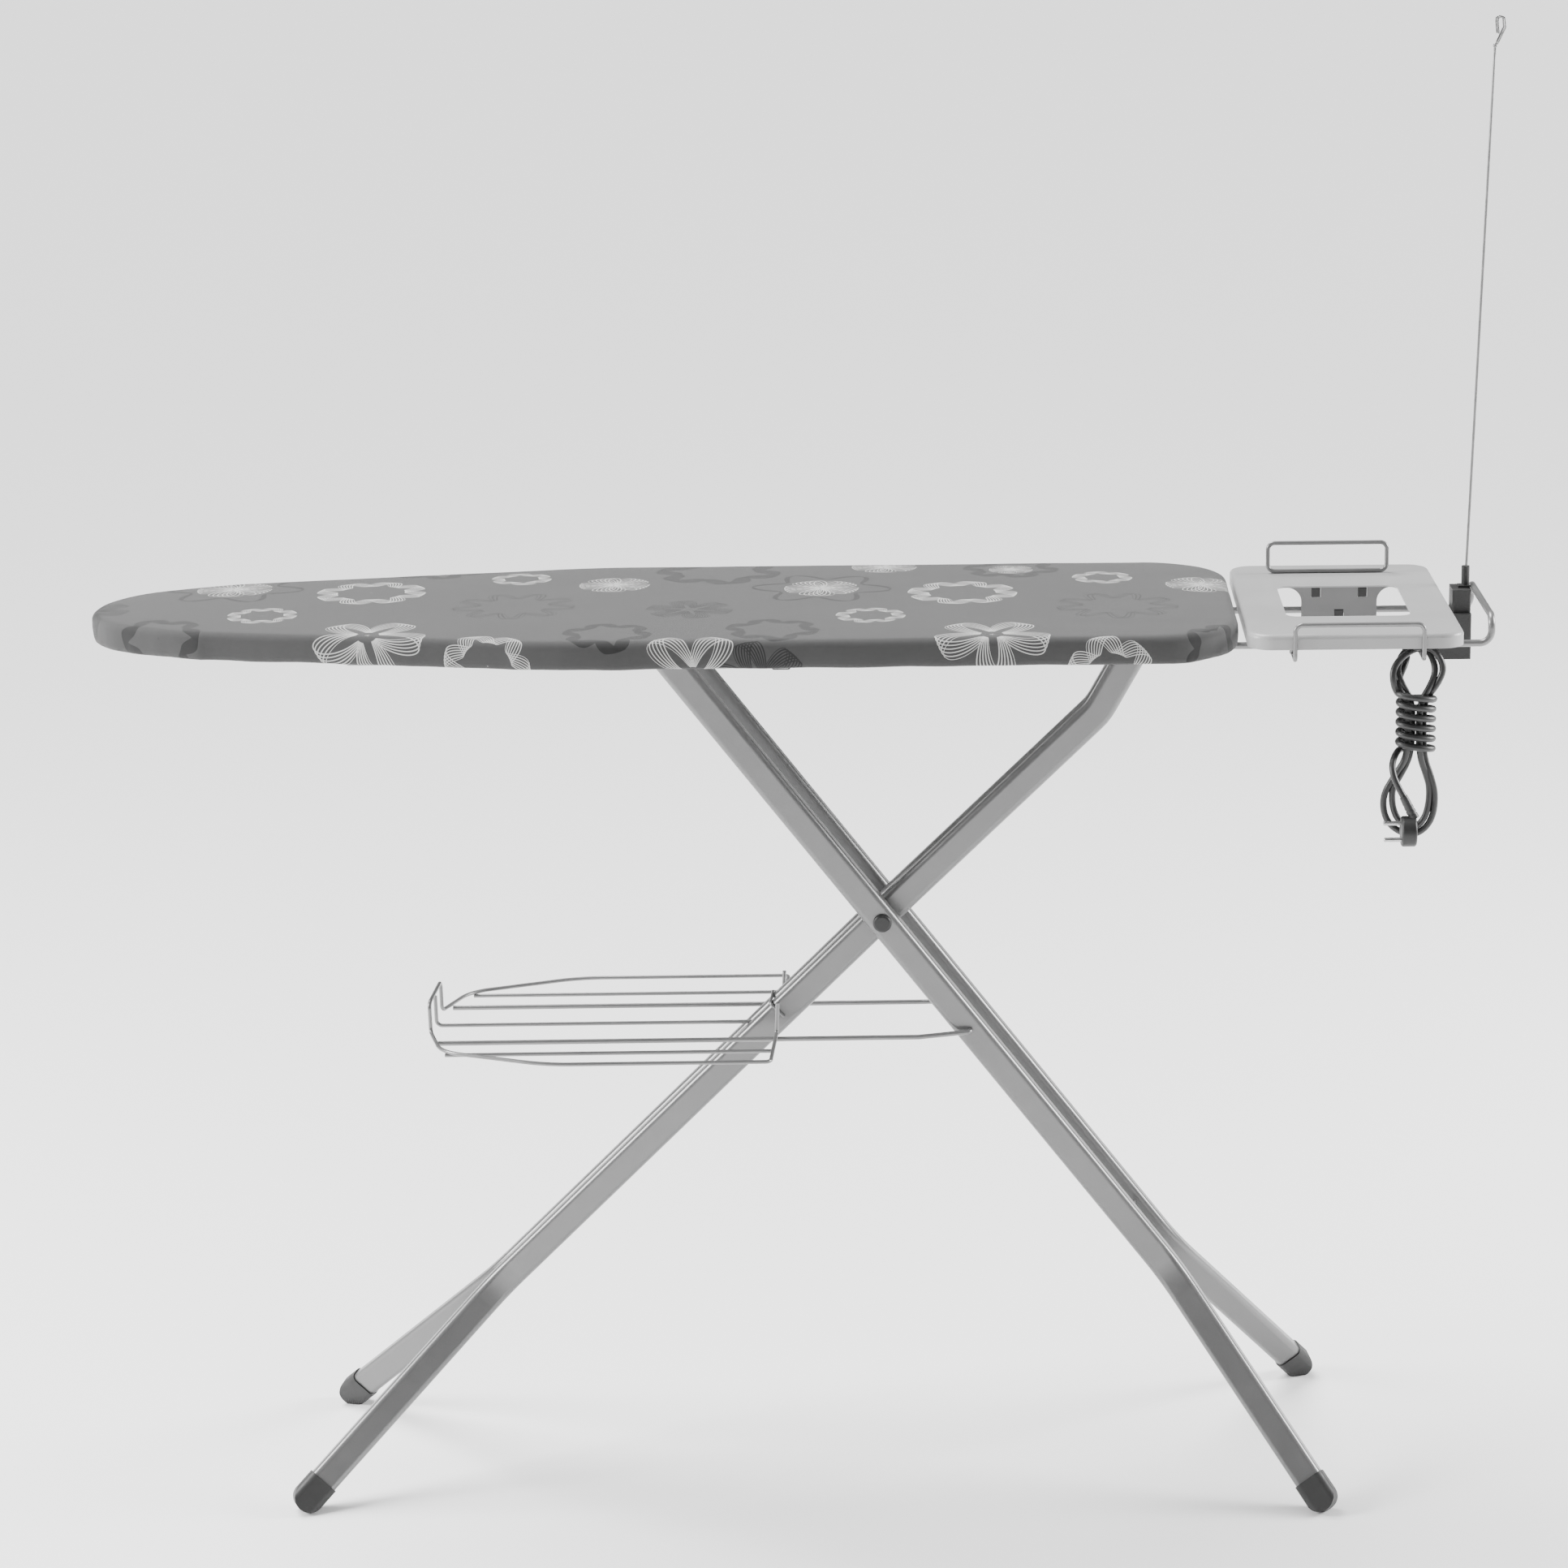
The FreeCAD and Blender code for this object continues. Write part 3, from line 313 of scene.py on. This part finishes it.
def board_shell(name, outline, rings, profile, level, shape):
    """A mesh over the board: rings from the spine to the edge, then a profile down round the edge.
    shape moves each point, and the layer print_layout holds the cloth's flat coordinates."""
    verts, flats, faces = [], [], []
    count = len(outline)
    first_out = profile[0][0]
    for ring in range(rings):
        share = ring / rings
        for point, out, curved, where in outline:
            edge = point + out * first_out
            spine = Vector((min(max(edge.x, -0.60), 0.33), 0))
            flat = spine.lerp(edge, share)
            verts.append(shape(flat, out, curved, where, share, 0.0, level))
            flats.append(flat)
    reach = first_out
    for index, (outwards, drop) in enumerate(profile):
        if index:
            reach += math.dist(profile[index - 1], (outwards, drop))
        hang = index / (len(profile) - 1)
        for point, out, curved, where in outline:
            verts.append(shape(point + out * outwards, out, curved, where, 1.0, hang, level - drop))
            flats.append(point + out * reach)
    for ring in range(rings + len(profile) - 1):
        for index in range(count):
            low, high = ring * count + index, ring * count + (index + 1) % count
            faces.append((low, high, high + count, low + count))
    mesh = bpy.data.meshes.new(name)
    mesh.from_pydata(verts, [], faces)
    layout = mesh.uv_layers.new(name="print_layout")
    for loop in mesh.loops:
        layout.data[loop.index].uv = flats[loop.vertex_index]
    mesh.shade_smooth()
    piece = bpy.data.objects.new(name, mesh)
    bpy.context.scene.collection.objects.link(piece)
    weld = piece.modifiers.new("weld", "WELD")
    weld.merge_threshold = 0.0003
    return piece


outline = board_outline(640)


def felt_surface(flat, out, curved, where, share, hang, z):
    fuzz = noise.noise(Vector((flat.x * 60, flat.y * 60, 3)))
    return (flat.x, flat.y, z + 0.0003 * fuzz)


felt_profile = [(-0.0125, 0.0), (-0.0095, 0.0006), (-0.0075, 0.0022), (-0.0070, 0.0045), (-0.0075, 0.0056)]
pad = board_shell("felt_pad", outline, 10, felt_profile + [(-0.02, 0.0058)], 0.9299, felt_surface)


def felt_grain(start):
    where = start.place()
    fibre = start.node(
        "ShaderNodeTexNoise", inputs={"Vector": where, "Scale": 900.0, "Detail": 6.0, "Distortion": 1.6}
    )
    return {
        "Base Color": start.between(fibre, 0.30, 0.52),
        "Normal": start.bump(fibre, 0.0006, 0.8),
    }


pad.data.materials.append(finish("needled_felt", {"Roughness": 0.95, "Sheen Weight": 0.3}, felt_grain))
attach(pad, "board")
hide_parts("padding")


# ---------------------------------------------------------------- cover
# Printed cotton, cut oversize and drawn round the board's edge by a cord in its hem. It is taut on
# top, rolls over the felt's edge, and gathers into small folds on the skirt, most at the corners.
def cover_surface(flat, out, curved, where, share, hang, z):
    wide = noise.noise(Vector((flat.x * 7, flat.y * 11, 0.5)))
    crease = noise.noise(Vector((flat.x * 26, flat.y * 34, 7)))
    slack = 0.35 + 0.65 * max(0.0, min(1.0, (flat.x + 0.1) / 0.5))
    edge_drop = -0.0012 * share ** 5
    top_lift = (0.0006 * wide + 0.00035 * crease * slack) * (1 - 0.5 * hang) + edge_drop * (1 - hang)
    fold = noise.noise(Vector((where * 34, 1.5, 2))) + 0.5 * noise.noise(Vector((where * 95, 4, 8)))
    deep = noise.noise(Vector((where * 9, 9, 1)))
    gather = hang ** 1.3 * (0.0013 + 0.0016 * curved) * (fold + 0.6 * deep)
    rise = hang * 0.0011 * noise.noise(Vector((where * 22, 6, 3)))
    spot = flat + out * gather
    return (spot.x, spot.y, z + top_lift + rise)


skirt = [(-0.0140, 0.0)]
for step in range(1, 8):
    angle = math.radians(90 * step / 7)
    skirt.append((-0.0090 + 0.0090 * math.sin(angle), 0.0090 * (1 - math.cos(angle))))
skirt += [(0.0002, 0.0125), (0.0003, 0.0165), (0.0001, 0.0205), (-0.0003, 0.0240), (-0.0012, 0.0270)]
skirt += [(-0.0030, 0.0288), (-0.0060, 0.0292), (-0.0095, 0.0287), (-0.0118, 0.0270), (-0.0112, 0.0250)]
skirt += [(-0.0090, 0.0245)]
cover = board_shell("printed_cover", outline, 26, skirt, 0.9323, cover_surface)

REPEAT = 0.605


def nearest_place(u, v, places):
    """Offsets from the nearest of the motif's places, in a print that repeats along the board."""
    across = up = reach = None
    for x, y, scale in places:
        here_across = (u - x / 1000).maths("WRAP", REPEAT / 2, -REPEAT / 2) / scale
        here_up = (v - y / 1000) / scale
        here_reach = here_across * here_across + here_up * here_up
        if reach is None:
            across, up, reach = here_across, here_up, here_reach
        else:
            nearer = here_reach.maths("LESS_THAN", reach)
            across = across + nearer * (here_across - across)
            up = up + nearer * (here_up - up)
            reach = reach.maths("MINIMUM", here_reach)
    return across, up, reach.maths("SQRT")


def spun_ring(offsets, ring, wave, petals, lines, spread, width):
    """Mask of a ring drawn as a waved circle, over and over, each time turned a little further."""
    across, up, radius = offsets
    angle = up.maths("ARCTAN2", across) * petals
    lean = ((radius - ring) / wave).maths("MINIMUM", 1.0).maths("MAXIMUM", -1.0).maths("ARCCOSINE")
    step = math.tau * spread / lines
    drawn = None
    for sense in (1, -1):
        ahead = (lean * sense - angle) / math.tau
        phase = ahead.maths("FRACT") * math.tau
        chosen = (phase / step).maths("ROUND").maths("MINIMUM", lines - 1.0) * step + angle
        miss = (radius - ring - chosen.maths("COSINE") * wave).maths("ABSOLUTE")
        slope = chosen.maths("SINE") * (wave * petals) / radius
        thin = miss / (slope * slope + 1.0).maths("SQRT")
        drawn = thin if drawn is None else drawn.maths("MINIMUM", thin)
    return drawn.node(
        "ShaderNodeMapRange",
        {"interpolation_type": "SMOOTHSTEP"},
        {0: drawn, 1: width * 0.5, 2: width * 1.3, 3: 1.0, 4: 0.0},
    )


def printed_cotton(start):
    layout = start.node("ShaderNodeUVMap", {"uv_map": "print_layout"})
    u = start.node("ShaderNodeSeparateXYZ", inputs={0: layout}, output=0)
    flat_v = start.node("ShaderNodeSeparateXYZ", inputs={0: layout}, output=1)
    v = flat_v + (u + 0.3) * 0.0446
    dark = [
        spun_ring(nearest_place(u, v, [(-589, 69, 1.0)]), 0.058, 0.013, 6, 4, 0.13, 0.0011),
        spun_ring(nearest_place(u, v, [(-626, -128, 1.0), (-180, -149, 0.95)]), 0.037, 0.0085, 6, 10, 0.46, 0.00085),
        spun_ring(nearest_place(u, v, [(-395, 172, 1.0), (-97, 153, 1.3)]), 0.040, 0.010, 6, 9, 0.45, 0.00090),
        spun_ring(nearest_place(u, v, [(-288, -20, 1.0)]), 0.048, 0.013, 9, 3, 0.40, 0.00090),
        spun_ring(nearest_place(u, v, [(-110, -38, 1.0), (-30, -222, 1.1)]), 0.026, 0.017, 6, 7, 0.5, 0.00070),
    ]
    light = [
        spun_ring(nearest_place(u, v, [(-589, 69, 1.0), (-199, 88, 0.95), (-529, 186, 0.9), (-395, 168, 0.6)]),
                  0.021, 0.017, 5, 6, 0.80, 0.00050),
        spun_ring(nearest_place(u, v, [(-444, 47, 1.0), (-533, -64, 0.62)]), 0.045, 0.0105, 8, 6, 0.55, 0.00060),
        spun_ring(nearest_place(u, v, [(-412, -152, 1.0), (-94, -214, 0.95)]), 0.034, 0.022, 5, 6, 0.42, 0.00060),
        spun_ring(nearest_place(u, v, [(-297, -200, 1.0), (-300, 122, 0.72)]), 0.034, 0.009, 6, 7, 0.60, 0.00050),
    ]
    black = dark[0]
    for mask in dark[1:]:
        black = black.maths("MAXIMUM", mask)
    white = light[0]
    for mask in light[1:]:
        white = white.maths("MAXIMUM", mask)
    thread = 0.00085
    weave = (u * (math.tau / thread)).maths("SINE") * (flat_v * (math.tau / thread)).maths("SINE")
    slub = start.node("ShaderNodeTexNoise", inputs={"Vector": layout, "Scale": 220.0, "Detail": 5.0})
    cloud = start.node("ShaderNodeTexNoise", inputs={"Vector": layout, "Scale": 9.0, "Detail": 3.0})
    tone = (cloud * 0.5 + slub * 0.3 + weave * 0.12).maths("MULTIPLY_ADD", 1.0, 0.1)
    ground = start.between(tone, 0.030, 0.050)
    inked = start.node("ShaderNodeMix", {"data_type": "RGBA"}, {0: black * 0.93, 6: ground, 7: (0.0025, 0.0025, 0.0028, 1)}, 2)
    printed = start.node("ShaderNodeMix", {"data_type": "RGBA"}, {0: white * 0.92, 6: inked, 7: (0.50, 0.50, 0.49, 1)}, 2)
    return {
        "Base Color": printed,
        "Normal": start.bump(weave * 0.35 + slub, 0.0003, 0.7),
    }


cotton = finish("printed_cotton", {"Roughness": 0.86, "Sheen Weight": 0.12, "Sheen Roughness": 0.5}, printed_cotton)
cover.data.materials.append(cotton)
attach(cover, "board")
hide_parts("cover")


# ---------------------------------------------------------------- legs
# Oval steel tubes in two crossing pairs, powder coated in satin silver, with the tail hinge, the
# crossing pin and the top axle running in nylon.
def powder_coat(start):
    where = start.place()
    cloud = start.grain(where, 9)
    sparkle = start.grain(where, 1100, 2)
    wear = start.grain(where, 55, 6)
    tone = cloud * 0.6 + sparkle * 0.4
    return {
        "Base Color": start.between(tone, 0.145, 0.205),
        "Roughness": wear * 0.14 + 0.27,
        "Normal": start.bump(sparkle, 0.00018, 0.35),
    }


silver = finish("silver_powder_coat", {"Metallic": 0.55, "Coat Weight": 0.25, "Coat Roughness": 0.2}, powder_coat)
coat(silver, "leg_a_near", "leg_a_far", "leg_b_near", "leg_b_far", "parking_hook")
coat(plated, "pivot_pin", "slide_axle")


def nylon_grain(start):
    cloud = start.grain(start.place(), 80)
    return {"Base Color": start.between(cloud, 0.50, 0.62), "Roughness": cloud * 0.2 + 0.35}


nylon = finish("natural_nylon", {"Subsurface Weight": 0.0}, nylon_grain)
coat(nylon, "hinge_washers", "leg_b_hinge_sleeve", "leg_b_pivot_sleeve", "leg_b_spacer")
coat(nylon, "pivot_washers", "slide_bushes")


# ---------------------------------------------------------------- foot caps and pivot caps
# Caps moulded in dark grey plastic and pushed on the tube ends, with a finely ribbed sole.
def cap_moulding(start):
    where = start.place()
    height = start.node("ShaderNodeSeparateXYZ", inputs={0: where}, output=2)
    along = start.node("ShaderNodeSeparateXYZ", inputs={0: where}, output=0)
    cloud = start.grain(where, 45)
    fine = start.grain(where, 1500, 2)
    scuff = start.grain(where, 160, 6)
    low = height.node("ShaderNodeMapRange", inputs={0: height, 1: 0.0, 2: 0.009, 3: 1.0, 4: 0.0})
    ribs = (along * (math.tau / 0.0022)).maths("SINE") * low
    dust = (scuff - 0.52) * 4.0 * low
    return {
        "Base Color": start.between(cloud + dust.maths("MAXIMUM", 0.0), 0.018, 0.034),
        "Roughness": scuff * 0.25 + 0.38,
        "Normal": start.bump(ribs * 0.6 + fine * 0.2, 0.0006, 0.8),
    }


cap_plastic = finish("cap_moulding", {"Specular IOR Level": 0.45}, cap_moulding)
coat(cap_plastic, "leg_a_cap_near", "leg_a_cap_far", "leg_b_cap_near", "leg_b_cap_far")
# The flap_buffers are dark blocks set behind the flap's punched holes: painted shade, a dark piece standing in for
# the shadow seen through the holes.
coat(moulded, "pivot_caps", "lever_grip", "flap_buffers")


# ---------------------------------------------------------------- wire shelf
# A welded grid of bright painted wire that hangs on one leg pair and rests on the other.
def wire_paint_grain(start):
    where = start.place()
    cloud = start.grain(where, 20)
    dimple = start.grain(where, 800, 3)
    return {
        "Base Color": start.between(cloud, 0.17, 0.23),
        "Roughness": cloud * 0.14 + 0.24,
        "Normal": start.bump(dimple, 0.0002, 0.4),
    }


wire_paint = finish("wire_paint", {"Metallic": 0.5, "Coat Weight": 0.3, "Coat Roughness": 0.15}, wire_paint_grain)
coat(wire_paint, "shelf_arm_near", "shelf_arm_far", "shelf_rim_near", "shelf_rim_far")
coat(wire_paint, "shelf_side_bars", "shelf_bar_middle", "shelf_stirrup")


# ---------------------------------------------------------------- iron rest
# A pressed steel tray, powder coated white, with a punched flap, on a bent rod under the board.
# Wire guards stand at its far side and hook over its near edge.
def white_coat(start):
    where = start.place()
    cloud = start.grain(where, 16)
    peel = start.grain(where, 650, 2)
    return {
        "Base Color": start.between(cloud, 0.31, 0.36),
        "Roughness": cloud * 0.12 + 0.34,
        "Normal": start.bump(peel, 0.00022, 0.4),
    }


# The flap is painted white like the tray; this darker copy of the white coat is painted shade for the flap lying in
# shadow.
def shaded_flap_coat(start):
    where = start.place()
    cloud = start.grain(where, 30)
    peel = start.grain(where, 650, 2)
    return {
        "Base Color": start.between(cloud, 0.13, 0.17),
        "Roughness": cloud * 0.12 + 0.42,
        "Normal": start.bump(peel, 0.00022, 0.4),
    }


coat(finish("white_powder_coat", {"Coat Weight": 0.2, "Coat Roughness": 0.25}, white_coat), "tray")
coat(finish("shaded_flap_coat", {}, shaded_flap_coat), "tray_flap")
coat(wire_paint, "guard_far", "guard_near", "guard_studs", "frame_rod")


# ---------------------------------------------------------------- mains socket
# A stepped box moulded in anthracite plastic, strapped to the rod, with a round earthed outlet.
def anthracite_grain(start):
    where = start.place()
    cloud = start.grain(where, 30)
    fine = start.grain(where, 1200, 2)
    return {
        "Base Color": start.between(cloud, 0.014, 0.022),
        "Roughness": cloud * 0.18 + 0.40,
        "Normal": start.bump(fine, 0.0003, 0.5),
    }


anthracite = finish("anthracite_moulding", {"Specular IOR Level": 0.45}, anthracite_grain)
coat(anthracite, "socket_housing", "guide_holder")
coat(moulded, "outlet_insert")
coat(plated, "earth_pin", "socket_screws", "socket_strap")


# ---------------------------------------------------------------- cable guide
# A sprung steel rod stands in the socket box's holder, with a clip of twin wire loops at its top.
def spring_grain(start):
    cloud = start.grain(start.place(), 120)
    return {"Base Color": start.between(cloud, 0.16, 0.28), "Roughness": cloud * 0.2 + 0.2}


spring = finish("sprung_steel", {"Metallic": 1.0}, spring_grain)
coat(spring, "guide_rod", "guide_clip")
coat(plated, "lock_lever")


# ---------------------------------------------------------------- floor and studio light
# A pale floor that runs to the horizon under an even white sky, one soft sun, and two soft boxes.
floor_mesh = bpy.data.meshes.new("floor")
floor_mesh.from_pydata([(-90, -90, 0), (90, -90, 0), (90, 90, 0), (-90, 90, 0)], [], [(0, 1, 2, 3)])
floor = bpy.data.objects.new("floor", floor_mesh)
bpy.context.scene.collection.objects.link(floor)


def pale_floor(start):
    cloud = start.grain(start.place(), 0.6)
    return {"Base Color": start.between(cloud, 0.92, 0.93)}


floor_mesh.materials.append(finish("pale_floor", {"Roughness": 0.9, "Specular IOR Level": 0.1}, pale_floor))

world = bpy.data.worlds.new("studio")
bpy.context.scene.world = world
world.use_nodes = True
sky = Shade(world.node_tree)
height = sky.node("ShaderNodeSeparateXYZ", inputs={0: sky.node("ShaderNodeTexCoord", output="Generated")}, output=2)
brightness = sky.node("ShaderNodeMapRange", inputs={0: height, 1: 0.0, 2: 0.8, 3: 0.5, 4: 10.5})
world.node_tree.links.new(brightness.socket, world.node_tree.nodes["Background"].inputs["Strength"])

sun = bpy.data.objects.new("soft_sun", bpy.data.lights.new("soft_sun", "SUN"))
sun.data.energy = 6.0
sun.data.angle = math.radians(35)
sun.rotation_euler = (math.radians(-16), math.radians(-22), 0)
bpy.context.scene.collection.objects.link(sun)
for name, spot, aim, width, power in (
    ("left_box", (-3.4, -0.6, 2.2), (0, 0, 0.6), 1.4, 240),
    ("right_box", (3.4, 0.4, 1.9), (0, 0, 0.6), 1.2, 200),
):
    lamp = bpy.data.objects.new(name, bpy.data.lights.new(name, "AREA"))
    lamp.data.size = width
    lamp.data.energy = power
    lamp.location = spot
    lamp.rotation_euler = (Vector(aim) - Vector(spot)).to_track_quat("-Z", "Y").to_euler()
    bpy.context.scene.collection.objects.link(lamp)
